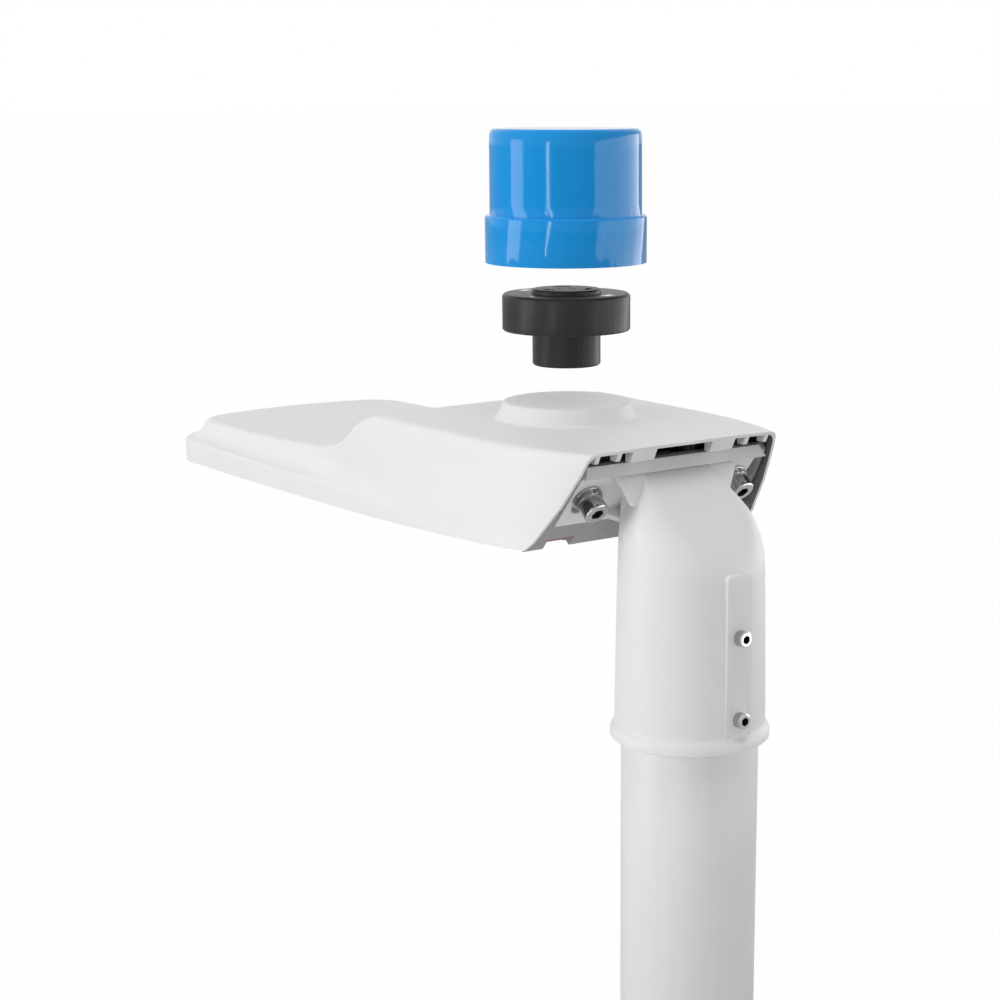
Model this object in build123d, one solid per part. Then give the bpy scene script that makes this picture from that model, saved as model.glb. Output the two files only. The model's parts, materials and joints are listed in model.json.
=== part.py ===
"""LED street light on a short length of pole, with its plug-in light sensor lifted off.

All lengths are in millimetres. X runs along the head with its tip on the minus side,
Y runs across it, and Z points up. The pole's own axis is X = Y = 0. The functions below
work in a head frame, whose zero height is the head's flat roof. Every part is then
raised by lift, so that zero height is the lower end of the pole.
"""
import math
import os

from build123d import *

os.makedirs("parts", exist_ok=True)

# Driving dimensions.
lift = 300.0            # the roof's height above the lower end of the pole
pole_r = 35.0           # outside radius of the pole
pole_wall = 3.0
pole_top = -66.0        # where the pole ends inside the adapter
pole_step = -150.0      # above it the pole is turned down a little, to fit the adapter
seat_step = 0.4         # how much smaller its radius is there
adapter_low = -149.1    # the adapter's lower rim
adapter_r_low = 38.3    # the adapter's outside radius above its rim
adapter_r_high = 36.6   # and at its shoulder, from the casting draft
rim_r = 40.5
socket_x = -104.35      # the axis of the sensor socket
tip_x = -422.5          # the tip of the head
wall = 2.4              # the thickness of the cover's walls
slope_deg = 40.0        # how far the rear wall's face looks down
bolt_y = 46.8           # the two flange bolts, across and up the slope
bolt_s = 31.8
flange_face = -3.8      # the flange's front face, measured out from the slope plane
flange_thick = 5.0
neck_top = 48.0         # the neck's flat top, measured up the slope
crease = 24.0           # the half-width of that flat
clear = 0.3             # the gap between parts that move past each other

slope = Plane(
    origin=(-42, 0, -52),
    x_dir=(0, 1, 0),
    z_dir=(math.cos(math.radians(slope_deg)), 0, -math.sin(math.radians(slope_deg))),
)


def save(shape, name):
    """Raises a part by lift and writes it under its node's name."""
    export_step(Pos(0, 0, lift) * shape, "parts/" + name + ".step")


def box(x0, x1, y0, y1, z0, z1):
    """A block between two corners."""
    size = (x1 - x0, y1 - y0, z1 - z0)
    return Pos((x0 + x1) / 2, (y0 + y1) / 2, (z0 + z1) / 2) * Box(*size)


def rod(x, y, z0, z1, r):
    """An upright cylinder between two heights."""
    return Pos(x, y, (z0 + z1) / 2) * Cylinder(r, z1 - z0)


def tube(x, y, z0, z1, r, bore):
    """An upright tube between two heights."""
    return rod(x, y, z0, z1, r) - rod(x, y, z0 - 1, z1 + 1, bore)


def hex_rod(x, y, z0, z1, flats):
    """An upright hexagonal prism, for a socket or a nut."""
    face = RegularPolygon(flats / 2, 6, major_radius=False)
    return Pos(x, y, z0) * extrude(face, z1 - z0)


def turned(points, x=0.0):
    """Turns a closed outline of radius and height pairs about an upright axis."""
    face = make_face(Polyline(*[(r, 0, z) for r, z in points], close=True))
    return Pos(x, 0, 0) * revolve(face, Axis.Z, 360)


def on_slope(shape):
    """Moves a shape from slope coordinates (across, up the slope, out) to the head's."""
    return slope.location * shape


def slope_box(y0, y1, s0, s1, d0, d1):
    return on_slope(box(y0, y1, s0, s1, d0, d1))


def slope_rod(y, s, d0, d1, r):
    return on_slope(rod(y, s, d0, d1, r))


def both(make):
    """The same part on the near and on the far side."""
    return make(-1) + make(1)


# The plan outlines of the cover.
def corner_arc(side, side_r, front, front_r, r):
    """The arc of radius r that joins the side's arc and the front's arc smoothly."""
    a, b = side_r - r, front_r - r
    dx, dy = front[0] - side[0], front[1] - side[1]
    d = math.hypot(dx, dy)
    along = (a * a - b * b + d * d) / (2 * d)
    off = math.sqrt(a * a - along * along)
    cx = side[0] + along * dx / d - off * dy / d
    cy = side[1] + along * dy / d + off * dx / d
    if cy < 0:
        cx = side[0] + along * dx / d + off * dy / d
        cy = side[1] + along * dy / d - off * dx / d
    t1 = math.atan2(cy - side[1], cx - side[0])
    t2 = math.atan2(cy - front[1], cx - front[0])
    mid = (t1 + t2) / 2
    return [(cx + r * math.cos(t), cy + r * math.sin(t)) for t in (t1, mid, t2)]


def half_outline(level):
    """Point triples of the arcs from the rear to the tip, at the top, middle or bottom."""
    if level == "top":
        first = [(20, 48.1), (-32, 68.46), (-85, 75.0)]
        second = [(-85, 75.0), (-130, 75.05), (-175, 75.0)]
        side, side_r, tip, corner_r = (-175, 75 - 7500), 7500.0, -413.0, 28.0
    else:
        if level == "bottom":
            first = [(20, 48.7), (-29, 71.1), (-78, 81.43)]
            second = [(-78, 81.43), (-134, 85.23), (-190, 86.5)]
        else:
            first = [(20, 48.5), (-29, 70.2), (-78, 79.9)]
            second = [(-78, 79.9), (-134, 84.85), (-190, 86.5)]
        side, side_r, tip, corner_r = (-190, 86.5 - 5400), 5400.0, tip_x, 36.0
    corner = corner_arc(side, side_r, (tip + 330, 0), 330.0, corner_r)
    x_mid = (second[2][0] + corner[0][0]) / 2
    y_mid = side[1] + math.sqrt(side_r**2 - (x_mid - side[0]) ** 2)
    third = [second[2], (x_mid, y_mid), corner[0]]
    half = math.atan2(corner[2][1], tip + 330 - corner[2][0]) / 2
    x_front = tip + 330 - 330 * math.cos(half)
    front = [corner[2], (x_front, 330 * math.sin(half)), (tip, 0)]
    return [first, second, third, corner, front]


def shifted(arc, inset):
    """A three-point arc moved towards its own centre by inset."""
    (ax, ay), (bx, by), (cx, cy) = arc
    d = 2 * (ax * (by - cy) + bx * (cy - ay) + cx * (ay - by))
    a2, b2, c2 = ax * ax + ay * ay, bx * bx + by * by, cx * cx + cy * cy
    ux = (a2 * (by - cy) + b2 * (cy - ay) + c2 * (ay - by)) / d
    uy = (a2 * (cx - bx) + b2 * (ax - cx) + c2 * (bx - ax)) / d
    r = math.hypot(ax - ux, ay - uy)
    k = (r - inset) / r
    return [(ux + (x - ux) * k, uy + (y - uy) * k) for x, y in arc]


def outline_face(level, z, inset=0.0):
    """The closed outline at one height, moved inward by inset."""
    half = [shifted(arc, inset) for arc in half_outline(level)]
    for one, two in zip(half, half[1:]):
        joint = ((one[2][0] + two[0][0]) / 2, (one[2][1] + two[0][1]) / 2)
        one[2] = joint
        two[0] = joint
    edges = [ThreePointArc(*arc) for arc in half]
    for arc in reversed(half):
        edges.append(ThreePointArc(*[(x, -y) for x, y in reversed(arc)]))
    edges.append(Line((half[0][0][0], -half[0][0][1]), (half[0][0][0], half[0][0][1])))
    return Pos(0, 0, z) * make_face(edges)


def outline_block(z0, z1, inset=0.0):
    """An upright block with the lower outline, moved inward by inset."""
    return extrude(outline_face("bottom", z0, inset), z1 - z0)


crest = [
    (-172, 0), (-181.5, -1.8), (-188, -3.8), (-194.4, -7.1), (-201, -11.7),
    (-207.7, -16), (-214.5, -19.4), (-221, -22.1), (-230, -24.4), (-239, -25.8),
    (-253, -26.9), (-281, -28.2), (-325, -29.5), (-372, -30.2), (-440, -30.7),
]


def above_roof(drop=0.0):
    """Everything above the roof's profile: flat, then the S bend, then the front plate."""
    pts = [(x, 0, z - drop) for x, z in crest]
    curve = Spline(*pts, tangents=[(-1, 0, 0), (-1, 0, -0.008)])
    rest = Polyline(
        (-440, 0, -30.7 - drop), (-440, 0, 60), (60, 0, 60), (60, 0, -drop), (-172, 0, -drop)
    )
    face = make_face([curve, rest])
    axis = Axis((0, 0, -2800), (1, 0, 0))
    face = face.rotate(axis, -2.6)
    return revolve(face, axis, 5.2)


def cove(radius):
    """The cutter of the hollow along the sides and tip, which runs out towards the rear."""
    half = half_outline("bottom")
    side_c, side_r = (-190, 86.5 - 5400), 5400.0
    start = (-235, side_c[1] + math.sqrt(side_r**2 - 45**2))
    corner = half[3]
    x_mid = (start[0] + corner[0][0]) / 2
    mid = (x_mid, side_c[1] + math.sqrt(side_r**2 - (x_mid + 190) ** 2))
    far = [(x, -y) for x, y in corner]
    edges = [
        Spline((-100, 101), (-160, 92.4), start, tangents=[(-1, -0.18), (-1, -0.008)]),
        ThreePointArc(start, mid, corner[0]),
        ThreePointArc(*corner),
        ThreePointArc(corner[2], (tip_x, 0), far[2]),
        ThreePointArc(far[2], far[1], far[0]),
        ThreePointArc(far[0], (mid[0], -mid[1]), (start[0], -start[1])),
        Spline((start[0], -start[1]), (-160, -92.4), (-100, -101), tangents=[(1, -0.008), (1, -0.18)]),
    ]
    path = Pos(0, 0, -29) * Wire([e.edge() for e in edges])
    tangent = path % 0
    across = Vector(0, 0, 1).cross(tangent)
    place = Plane(origin=path @ 0, x_dir=across, z_dir=tangent)
    bottom = ThreePointArc((-radius, 0), (0, -radius), (radius, 0))
    sides = Polyline((radius, 0), (radius, 45), (-radius, 45), (-radius, 0))
    return sweep(place * make_face([bottom, sides]), path=path)


def rear_cut(back=0.0):
    """Everything behind the cover's slanted, slightly curved rear edge."""
    arc = ThreePointArc((-0.8 - back, 0, 6), (-20.2 - back, 0, -28.2), (-55 - back, 0, -65))
    rest = Polyline((-55 - back, 0, -65), (80, 0, -65), (80, 0, 6), (-0.8 - back, 0, 6))
    return extrude(make_face([arc, rest]), 150, dir=(0, 1, 0), both=True)


def below_edge():
    """Everything under the cover's lower edge, which drops a little towards the tip."""
    pts = [(-450, 0, -56.4), (60, 0, -51.0), (60, 0, -90), (-450, 0, -90)]
    face = make_face(Polyline(*pts, close=True))
    return extrude(face, 150, dir=(0, 1, 0), both=True)


def drafted(inset, low):
    """The sides from the roof down, before the hollow is cut."""
    faces = [
        outline_face("top", 3, inset),
        outline_face("middle", -42, inset),
        outline_face("bottom", low, inset),
    ]
    return loft(faces, ruled=True)


def cover_body():
    """The cover's outside as a solid block."""
    return drafted(0, -58.0) - above_roof() - cove(13.0)


def cavity(gap=0.0):
    """The space inside the cover, or a little less with a gap."""
    inset = wall + gap
    space = drafted(inset, -61.0) & box(-178, 60, -100, 100, -70, 10)
    space += outline_block(-61, 3, 13.2 + inset) & box(-430, -177, -100, 100, -70, 10)
    space += outline_block(-61, -45.0 - gap, inset) & box(-430, -177, -100, 100, -70, 10)
    # keep the wall whole behind the start of the hollow
    for s in (-1, 1):
        pts = [(-186, s * 71.5), (-160, s * 74.5), (-138, s * 80.0), (-138, s * 110), (-186, s * 110)]
        space -= extrude(Pos(0, 0, -45) * make_face(Polyline(*pts, close=True)), 60)
    return space - above_roof(inset)


cover_screw_places = [(-396, 44), (-396, -44), (-250, 64.8), (-250, -64.8), (-84, 66), (-84, -66)]
gear_screw_places = [(-166, 50), (-166, -50), (-84, 50), (-84, -50)]
board_screw_places = [(x, y) for x in (-381, -298, -215) for y in (-53.5, 53.5)]


def top_cover():
    """The die-cast cover: roof, S bend, front plate, skirt, sensor dome, ribs and bosses."""
    body = cover_body()
    shell = body - cavity()
    # the dome that carries the sensor socket, closed and slightly dished
    shell += turned([(0, -2), (37.6, -2), (36.6, 0.3), (33.1, 8.8), (0, 8.8)], socket_x)
    shell -= turned([(0, 9.5), (27.5, 9.5), (27.5, 8.8), (26.5, 8.0), (0, 8.0)], socket_x)
    shell -= turned([(0, -6), (30.5, -6), (29.0, 5.0), (0, 5.0)], socket_x)
    # the roof thins towards its rear edge, and ribs stiffen it
    shell -= box(-26, 10, -54.9, 54.9, -5, -1.6)
    for y0, y1, low in ((52.4, 54.9, -6.0), (39.2, 42.0, -6.0), (17.6, 32.6, -7.6)):
        shell += box(-24, -2, y0, y1, low, -1.5)
        shell += box(-24, -2, -y1, -y0, low, -1.5)
    for s in (-1, 1):
        shell += box(-24, -9, *sorted((s * 18.6, s * 31.6)), -8.0, -2)
    # the platform that the board is screwed to, with fins up to the front plate
    platform = box(-392, -206, -58, 58, -41.0, -37.5)
    side = [(-392, -38), (-392, -31.8), (-325, -31.0), (-281, -29.7), (-253, -28.4), (-239, -27.3), (-226, -38)]
    fin = extrude(make_face(Polyline(*[(x, 0, z) for x, z in side], close=True)), 1.5, both=True)
    for y in (-48, -32, -16, 0, 16, 32, 48):
        platform += Pos(0, y, 0) * fin
    shell += platform
    for x, y in cover_screw_places:
        top = -32.0 if x < -300 else (-29.0 if x < -150 else -1.5)
        shell += rod(x, y, -48.9, top, 4.4)
    for x, y in gear_screw_places:
        shell += rod(x, y, -9.4, -1.5, 4.4)
    shell -= rear_cut()
    shell -= below_edge()
    for x, y in cover_screw_places:
        shell -= rod(x, y, -49.5, -38, 2.0)
    for x, y in gear_screw_places:
        shell -= rod(x, y, -10, -4.2, 1.65)
    for x, y in board_screw_places:
        shell -= rod(x, y, -42, -33.5, 1.3)
    return shell


# The lower casting.
frame_low, frame_top = -52.0, -49.0
window = (-387.2, -207, -57, 57)      # the opening under the lenses
door_hole = (-190, -66, -60, 60)    # the opening under the control gear


def base_frame():
    """The lower casting: window frame, door frame, rim, sloped rear wall and lip."""
    plate = outline_block(frame_low, frame_top, wall + 1.0)
    plate += outline_block(frame_top - 0.1, -46.6, wall + 2.0) - outline_block(-50, -40, wall + 4.4)
    plate -= slope_box(-150, 150, -60, 140, -12.3, 200)
    plate -= box(window[0], window[1], window[2], window[3], -60, -45)
    plate -= box(door_hole[0], door_hole[1], door_hole[2], door_hole[3], -60, -45)
    # the cross wall between the two compartments, with the wire hole
    plate += box(-203, -199.5, -62, 62, frame_top - 0.1, -30)
    plate -= Pos(-201, 30, -38) * Rot(0, 90, 0) * Cylinder(4.0, 12)
    # the sloped wall with its lip
    block = slope_box(-66.5, 66.5, -8.6, 49, -12.3, -4.8)
    lip = make_face(
        Polyline((48.6, -12.3), (48.6, -1.6), (49.3, 0.0), (52.4, -6.1), (52.4, -12.3), close=True)
    )
    lip = extrude(lip, 115.4)
    lip_place = Plane(
        origin=slope.from_local_coords((-57.7, 0, 0)), x_dir=slope.y_dir, z_dir=(0, 1, 0)
    )
    lip = lip_place.location * lip
    for s in (-1, 1):
        wedge = make_face(Polyline((57.9, 49.0), (54.2, 53.2), (60, 53.2), (60, 49.0), close=True))
        wedge = extrude(wedge, 20, both=True)
        if s < 0:
            wedge = mirror(wedge, Plane.YZ)
        lip -= on_slope(wedge)
    block += lip
    # keep the wall inside the cover
    block &= cavity(0.4)
    block += lip & box(-60, 20, -57.8, 57.8, -30, -3.5)
    # the seat of the adapter's flange
    block -= slope_box(-56.5, 56.5, 9.5, 32.0, -8.8, 5)
    block -= slope_box(-46.8, 46.8, 9.5, 48.4, -8.8, 5)
    for s in (-1, 1):
        block -= slope_rod(s * bolt_y, bolt_s, -8.8, 5, 16.2)
    block += both(lambda s: slope_rod(s * bolt_y, bolt_s, -21, -12.0, 8.0))
    block -= both(lambda s: slope_rod(s * bolt_y, bolt_s, -19.5, -7, 4.05))
    block -= slope_rod(0, 30, -25, 5, 14.0)
    # two finger notches in its lower edge
    block -= both(lambda s: slope_box(*sorted((s * 38, s * 54.5)), -20, -1.3, -20, 5))
    block -= box(-80, 40, -100, 100, -80, -55.1)
    block -= box(-80, 40, -100, 100, -8.3, 10)
    frame = plate + block
    # room behind the notches for a finger on the door's edge
    frame -= both(lambda s: box(-58.0, -40, *sorted((s * 38, s * 54.5)), -60, -50.2))
    for x, y in cover_screw_places:
        frame += rod(x, y, frame_low, frame_top, 5.5)
        frame -= rod(x, y, -60, -44, 2.2)
        frame -= rod(x, y, -60, -50.4, 4.0)
    # ears for the door's two hinge pins
    for s in (-1, 1):
        for y0, y1 in ((44, 49.6), (60.4, 66)):
            ear = box(-199.6, -191.4, *sorted((s * y0, s * y1)), -52.0, -45.2)
            frame += ear
    frame -= both(lambda s: box(-198.6, -189, *sorted((s * 49.6, s * 60.4)), -60, -43))
    # room for the door's arms when they hang down
    frame -= both(lambda s: box(-201.3, -198, *sorted((s * 49.6, s * 60.4)), -60, -48.4))
    frame -= both(lambda s: Pos(-195, s * 55, -48.6) * Rot(90, 0, 0) * Cylinder(1.5, 19))
    return frame


def ring_between(outer, inner, z0, z1):
    """A flat rectangular ring between two boxes of the plan."""
    a = box(outer[0], outer[1], outer[2], outer[3], z0, z1)
    return a - box(inner[0], inner[1], inner[2], inner[3], z0 - 1, z1 + 1)


def cover_gasket():
    """The rubber cord in the gap over the lower casting's rim."""
    body = outline_block(-46.6, -45.1, wall + 2.2) - outline_block(-48, -39, wall + 4.2)
    return body - slope_box(-150, 150, -60, 140, -12.8, 200)


def screw(x, y, z_head, length, r, head_r, head_h, drive):
    """A screw driven from below: its head's underside faces down at z_head."""
    body = rod(x, y, z_head - head_h, z_head, head_r) + rod(x, y, z_head - 0.1, z_head + length, r)
    return body - hex_rod(x, y, z_head - head_h - 1, z_head - head_h * 0.4, drive)


def group(items):
    """Separate solids of one node."""
    return Compound(children=[s for item in items for s in item.solids()])


def cover_screws():
    items = [screw(x, y, -50.4, 10.5, 1.95, 3.6, 1.6, 2.5) for x, y in cover_screw_places]
    return group(items)


# The light engine.
led_places = [(-208.5 - 20.5 * (i + 0.5), -52.5 + 15 * (j + 0.5)) for i in range(8) for j in range(7)]
led_places = [(x - 4, y) for x, y in led_places]


def thermal_pad():
    body = box(-389, -207, -56, 56, -41.5, -41.0)
    for x, y in board_screw_places:
        body -= rod(x, y, -43, -40, 2.0)
    return body


def led_board():
    body = box(-390, -206, -57, 57, -43.1, -41.5)
    for x, y in board_screw_places:
        body -= rod(x, y, -45, -40, 1.6)
    return body


def leds():
    items = []
    for x, y in led_places:
        chip = box(x - 1.75, x + 1.75, y - 1.75, y + 1.75, -43.7, -43.1)
        dome = Pos(x, y, -43.6) * Sphere(1.2) & box(x - 2, x + 2, y - 2, y + 2, -46, -43.5)
        items.append(chip + dome)
    return group(items)


def lens_array():
    """A clear plate with one bubble lens under each lamp, hollow above it."""
    body = box(-391.2, -204.4, -60, 60, -48.3, -45.3)
    for x, y in led_places:
        body += Pos(x, y, -48.0) * scale(Sphere(1.0), by=(8.0, 6.3, 5.0))
    body -= box(-400, -200, -70, 70, -45.3, -40)
    for x, y in led_places:
        body -= Pos(x, y, -45.3) * scale(Sphere(1.0), by=(3.6, 3.0, 3.4))
    return body


def lens_gasket():
    outer = (-391.2, -204.4, -60, 60)
    inner = (-387.6, -206.8, -57.4, 57.4)
    return ring_between(outer, inner, -49.0, -48.3)


def board_screws():
    items = [screw(x, y, -43.1, 7.0, 1.28, 2.3, 1.3, 1.6) for x, y in board_screw_places]
    return group(items)


# The control gear.
def gear_plate():
    """The folded steel plate that the control gear is screwed to."""
    body = box(-185, -79, -55, 55, -10.9, -9.4)
    body += box(-185, -79, -55, -53.8, -16, -9.4) + box(-185, -79, 53.8, 55, -16, -9.4)
    for x, y in gear_screw_places:
        body -= rod(x, y, -12, -9, 1.9)
    for x, y in driver_screw_places:
        body -= rod(x, y, -12, -9, 1.3)
    return body


driver_screw_places = [(-178, -30), (-84, -30)]


def gear_screws():
    items = [screw(x, y, -10.9, 6.0, 1.6, 3.0, 1.8, 2.0) for x, y in gear_screw_places]
    return group(items)


def driver():
    """The lamp driver: a long sealed case with two mounting ears."""
    case = box(-172, -90, -46, -10, -38.9, -10.9)
    case = fillet(case.edges().filter_by(Axis.Z), 2.0)
    case += box(-182, -80, -38, -22, -12.9, -10.9)
    for x, y in driver_screw_places:
        case -= rod(x, y, -14, -10, 2.0)
    # wire outlets
    for x in (-172, -90):
        out = -3 if x < -100 else 3
        case += Pos(x + out / 2, -30, -26) * Rot(0, 90, 0) * Cylinder(4.5, abs(out))
    return case


def driver_screws():
    items = [screw(x, y, -12.9, 3.4, 1.25, 2.8, 1.6, 2.0) for x, y in driver_screw_places]
    return group(items)


def surge_protector():
    case = box(-178, -136, 8, 40, -33.9, -10.9)
    return fillet(case.edges().filter_by(Axis.Z), 3.0)


def terminal_block():
    """Three screw clamps in a row."""
    body = box(-118, -88, 10, 28, -26.9, -10.9)
    for x in (-113, -103, -93):
        body -= rod(x, 19, -28, -20.4, 2.2)
        body -= Pos(x, 19, -17) * Rot(90, 0, 0) * Cylinder(2.0, 30)
    return body


def terminal_screws():
    items = []
    for x in (-113, -103, -93):
        item = rod(x, 19, -25.9, -20.5, 1.9)
        item -= box(x - 1.9, x + 1.9, 18.6, 19.4, -26.5, -24.9)
        items.append(item)
    return group(items)


def cable_clamp():
    """The saddle that holds the supply cable."""
    body = box(-99.5, -89.5, 33, 52, -19.9, -10.9)
    return body - Pos(-94.5, 42.5, -15.9) * Rot(0, 90, 0) * Cylinder(4.5, 20)


def grommet():
    """The rubber ring in the cable hole of the sloped wall."""
    sleeve = rod(0, 30, -14.3, -9.0, 13.9) + rod(0, 30, -14.3, -12.4, 16.5)
    return on_slope(sleeve - rod(0, 30, -20, 0, 9.5))


# The door under the control gear.
arm_outline = [(-1.4, -2.6), (4.4, -5.6), (11, -5.6), (11, -4.5), (6.2, -4.5), (2.9, -0.6)]


def driver_door():
    """The door: plate, stiffening rim and two knuckles on the pins."""
    body = box(-188.5, -57.5, -64, 64, -54.2, -53.0)
    body += ring_between((-184, -80, -57, 57), (-181.5, -82.5, -54.5, 54.5), -53.2, -47.5)
    for s in (-1, 1):
        y = s * 55
        knuckle = Pos(-195, y, -48.6) * Rot(90, 0, 0) * Cylinder(3.0, 10)
        arm = make_face(Polyline(*[(-195 + x, 0, -48.6 + z) for x, z in arm_outline], close=True))
        body += knuckle + Pos(0, y, 0) * extrude(arm, 5, dir=(0, 1, 0), both=True)
        body -= Pos(-195, y, -48.6) * Rot(90, 0, 0) * Cylinder(1.56, 12)
    body -= rod(latch_x, 0, -60, -45, 2.55)
    # clear of the finger notches in the lower casting
    body -= both(lambda s: box(-59.2, -50, *sorted((s * 37, s * 55.5)), -60, -50))
    return body


latch_x = -72.5


def door_gasket():
    outer = (-190.8, -58.5, -62.5, 62.5)
    inner = (-187.2, -64.0, -60.2, 60.2)
    body = ring_between(outer, inner, -53.0, -52.0)
    return body - both(lambda s: box(-200, -186, s * 55 - 5.4, s * 55 + 5.4, -60, -45))


def hinge_pins():
    return group([Pos(-195, s * 55, -48.6) * Rot(90, 0, 0) * Cylinder(1.5, 18.6) for s in (-1, 1)])


def door_latch():
    """The quarter-turn fastener: head, shaft and cam."""
    body = rod(latch_x, 0, -57.0, -54.3, 6.0)
    body += rod(latch_x, 0, -54.4, -46.6, 2.5)
    body += box(latch_x - 2.6, latch_x + 2.6, -10.0, 2.6, -48.6, -46.6)
    body -= box(latch_x - 6.5, latch_x + 6.5, -0.8, 0.8, -58, -55.6)
    return body


# The adapter on the pole.
def rounded(y_half, s0, s1, r):
    """A rounded rectangle across the slope."""
    face = RectangleRounded(2 * y_half, s1 - s0, r)
    return Pos(0, (s0 + s1) / 2, 0) * face


def neck():
    """The elbow: the collar's cylinder, cut by the flat top and narrowed towards the flange."""
    side = [(22.5, flange_face - 0.1), (22.5, 2.5), (27, 11), (34, 19), (37.5, 26), (37.5, 110)]
    outline = side + [(-y, d) for y, d in reversed(side)]
    walls = extrude(make_face(Polyline(*[(y, 0, d) for y, d in outline], close=True)), 60, dir=(0, 1, 0), both=True)
    body = rod(0, 0, -60.5, 0, adapter_r_high) & on_slope(walls)
    body -= slope_box(-100, 100, neck_top, 150, -60, 150)
    # a facet beside each crease of the flat top
    for s in (-1, 1):
        pts = [(s * crease, neck_top), (s * 90, neck_top - 0.9 * (90 - crease)), (s * 90, 90), (s * crease, 90)]
        body -= on_slope(extrude(make_face(Polyline(*pts, close=True)), 150, both=True))
    rear = [e for e in body.edges() if e.geom_type == GeomType.ELLIPSE and e.center().X > 8 and e.center().Z > -59]
    return fillet(rear, 11.0)


def wing(s):
    """An upright, three-cornered wing between the flange's top edge and the neck."""
    front = [(18, -9), (37.3, -9), (37.3, -16.3), (31, -29.5), (18, -29.5)]
    side = [(-15.0, -9.0), (-5.0, -9.0), (-10.0, -16.2), (-7.3, -29.3), (-10.3, -29.6), (-12.6, -20.0), (-18, -17.0)]
    shape = extrude(make_face(Polyline(*[(0, s * y, z) for y, z in front], close=True)), 40, dir=(1, 0, 0), both=True)
    shape &= extrude(make_face(Polyline(*[(x, 0, z) for x, z in side], close=True)), 60, dir=(0, 1, 0), both=True)
    return shape & slope_box(-60, 60, 0, neck_top, flange_face - 0.5, 60)


def adapter():
    """The cast elbow: collar on the pole, neck, sloped flange, webs and screw pad."""
    # the collar, with its casting draft, and the rim round its mouth
    body = turned(
        [
            (0, adapter_low), (rim_r, adapter_low), (rim_r, -145.2), (rim_r - 0.8, -143.8),
            (39.2, -143.0), (adapter_r_low, -141.6), (37.8, -110.5), (37.25, -79.0),
            (adapter_r_high, -60.0), (0, -60.0),
        ]
    )
    body += neck()
    # the flange, with a slot for each bolt
    back = flange_face - flange_thick
    flange = box(-56, 56, 10, 31.5, back, flange_face) + box(-46.8, 46.8, 10, 47.5, back, flange_face)
    for s in (-1, 1):
        flange += rod(s * bolt_y, bolt_s, back, flange_face, 15.7) & box(-56, 56, 0, 60, -20, 20)
    slot = both(lambda s: box(s * bolt_y - 4.9, s * bolt_y + 4.9, 24.1, 34.0, -20, 10))
    for s in (-1, 1):
        slot += rod(s * bolt_y, 24.1, -20, 10, 4.9) + rod(s * bolt_y, 34.0, -20, 10, 4.9)
    body += on_slope(flange)
    # the upright wings and the lower, three-cornered webs
    body += both(wing)
    for s in (-1, 1):
        pts = [(s * 34, flange_face - 1), (s * 34, flange_face), (s * 16, 7.0), (s * 10, 7.0), (s * 10, flange_face - 1)]
        web = extrude(make_face(Polyline(*[(y, 0, d) for y, d in pts], close=True)), 1.75, both=True)
        body += on_slope(Pos(0, 17.3, 0) * web)
    body -= on_slope(slot)
    # the pad for the two set screws
    body += box(20, 37.9, -8.2, 8.2, -143.5, -59.6) & rod(0, 0, -150, -50, 42)
    # the bore, its shoulder and the cable way
    body -= rod(0, 0, adapter_low - 1, -65.0, pole_r - seat_step + 0.08)
    body -= rod(0, 0, -66, -50, 24.0)
    body -= slope_rod(0, 30, -20, 24, 13.0)
    for z in set_screw_heights:
        body -= Pos(33, 0, z) * Rot(0, 90, 0) * Cylinder(4.02, 20)
    return body


set_screw_heights = (-91.2, -132.9)


def set_screws():
    """Two socket set screws through the pad, standing out as they do in the picture."""
    items = []
    for z in set_screw_heights:
        item = Pos((34.7 + 42.7) / 2, 0, z) * Rot(0, 90, 0) * Cylinder(4.0, 8.0)
        hexagon = Pos(42.8, 0, z) * Rot(0, -90, 0) * extrude(RegularPolygon(2.0, 6, major_radius=False), 4)
        item = chamfer(item.edges().sort_by(Axis.X)[-1], 0.7) - hexagon
        items.append(item)
    return group(items)


def flange_bolts():
    """Two socket-head cap screws through the flange's slots."""
    items = []
    for s in (-1, 1):
        head = rod(s * bolt_y, bolt_s, 0.0, 8.0, 6.5)
        head = fillet(head.edges().sort_by(Axis.Z)[-1], 0.7)
        item = head + rod(s * bolt_y, bolt_s, -18.5, 0.1, 4.0)
        item -= hex_rod(s * bolt_y, bolt_s, 4.0, 9.0, 6.0)
        items.append(on_slope(item))
    return group(items)


def flat_washers():
    return group([on_slope(tube(s * bolt_y, bolt_s, -3.8, -2.2, 8.0, 4.2)) for s in (-1, 1)])


def spring_washers():
    items = []
    for s in (-1, 1):
        ring = tube(s * bolt_y, bolt_s, -2.2, 0.0, 7.2, 4.2)
        ring -= box(s * bolt_y - 0.4, s * bolt_y + 0.4, bolt_s, bolt_s + 10, -4, 4)
        items.append(on_slope(ring))
    return group(items)


def pole():
    """The tube, turned down where it fits in the adapter."""
    body = rod(0, 0, -lift, pole_step, pole_r) + rod(0, 0, pole_step - 1, pole_top, pole_r - seat_step)
    return body - rod(0, 0, -lift - 1, pole_top + 1, pole_r - pole_wall)


# The sensor socket, as it floats over the dome.
def arc_slot(r, width, a0, a1, z0, z1):
    """A curved slot on the socket's axis."""
    ring = tube(socket_x, 0, z0, z1, r + width / 2, r - width / 2)
    points = [(socket_x, 0)]
    for k in range(7):
        a = math.radians(a0 + (a1 - a0) * k / 6)
        points.append((socket_x + 60 * math.cos(a), 60 * math.sin(a)))
    wedge = extrude(make_face(Polyline(*points, close=True)), z1 - z0)
    return ring & Pos(0, 0, z0) * wedge


blade_angles = (35.0, 155.0, 275.0)


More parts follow.
